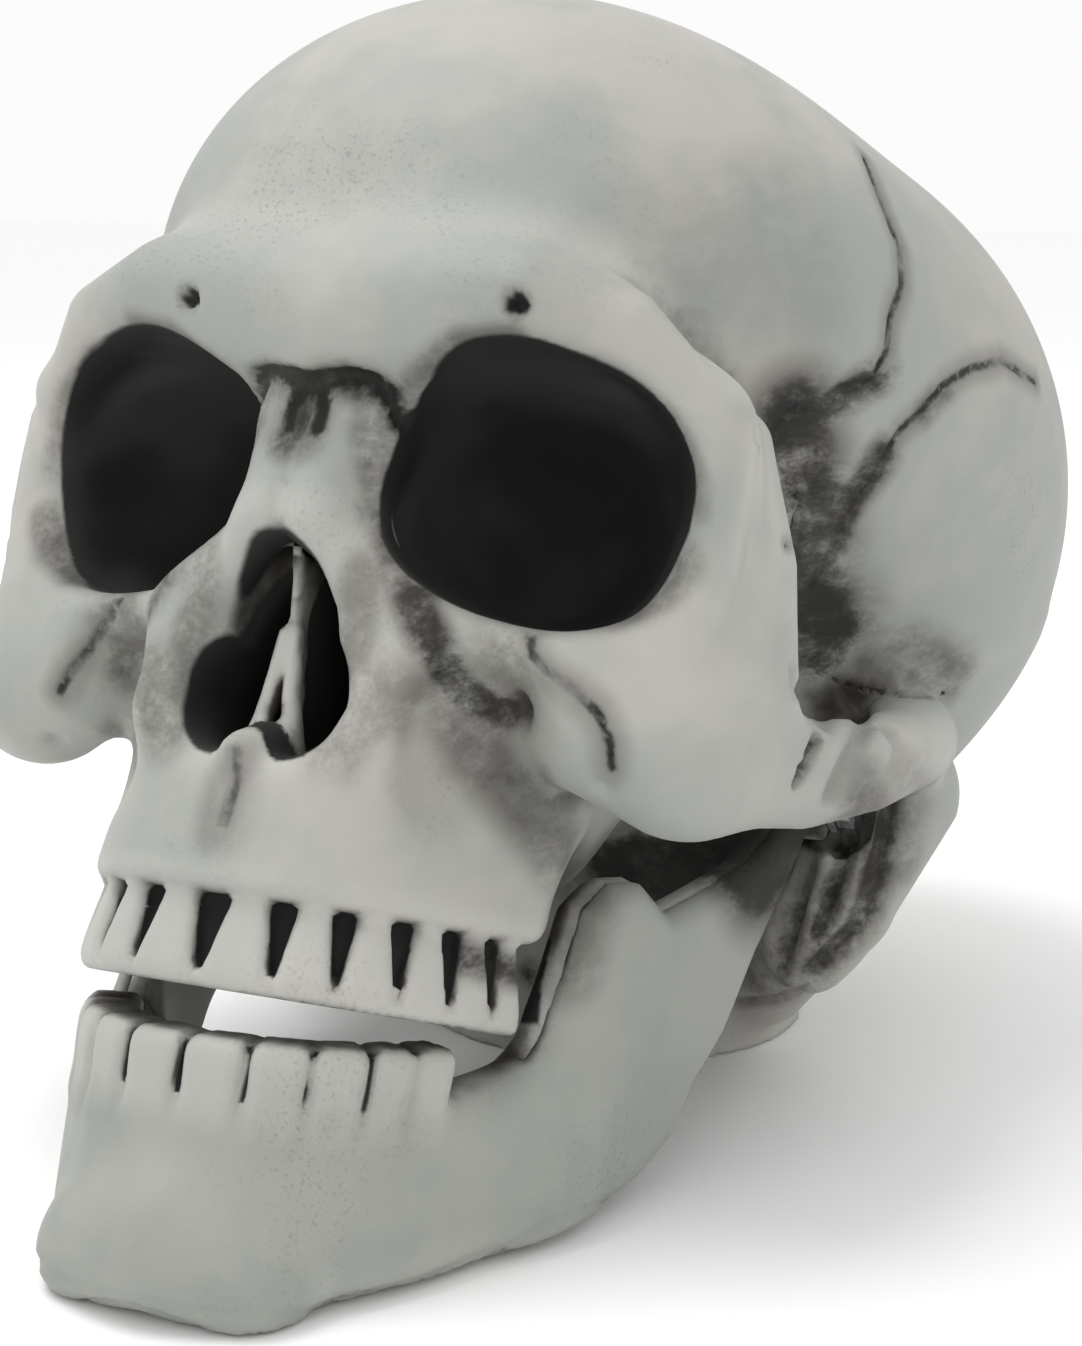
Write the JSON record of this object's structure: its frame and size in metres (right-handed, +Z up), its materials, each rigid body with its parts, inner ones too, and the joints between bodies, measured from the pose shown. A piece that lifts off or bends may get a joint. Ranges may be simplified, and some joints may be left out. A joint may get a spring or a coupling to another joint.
{
  "type": "halloween skull decoration",
  "caption": "Life-size human skull decoration in weathered grey plastic, tipped back on a flat base, with a hinged lower jaw.",
  "frame": {"origin": "middle of the flat base, on the surface that it stands on", "axes": "+Z up, -Y the way the face looks, +X the skull's own left"},
  "size_m": [0.1406, 0.2316, 0.1666],
  "materials": {
    "bone_plastic": "matte, light grey with dark wash in its hollows",
    "jaw_plastic": "matte, light grey with dark wash in its hollows",
    "base_plastic": "matte",
    "screw_steel": "dull zinc"
  },
  "bodies": {
    "skull": {"cranium_front_shell": "bone_plastic", "cranium_rear_shell": "bone_plastic", "base_plate": "base_plastic", "base_plate_screw_1": "screw_steel", "base_plate_screw_2": "screw_steel", "base_plate_screw_3": "screw_steel", "base_plate_screw_4": "screw_steel", "jaw_hinge_screw_left": "screw_steel", "jaw_hinge_screw_right": "screw_steel", "jaw_hinge_washer_left": "screw_steel", "jaw_hinge_washer_right": "screw_steel"},
    "jaw": {"jaw_outer_shell": "jaw_plastic", "jaw_inner_shell": "jaw_plastic"}
  },
  "joints": [
    {"name": "jaw_hinge", "type": "hinge", "parent": "skull", "child": "jaw", "pos_m": [0, -0.02614, 0.04734], "axis": [1, 0, 0], "range_deg": [0, 25]}
  ]
}
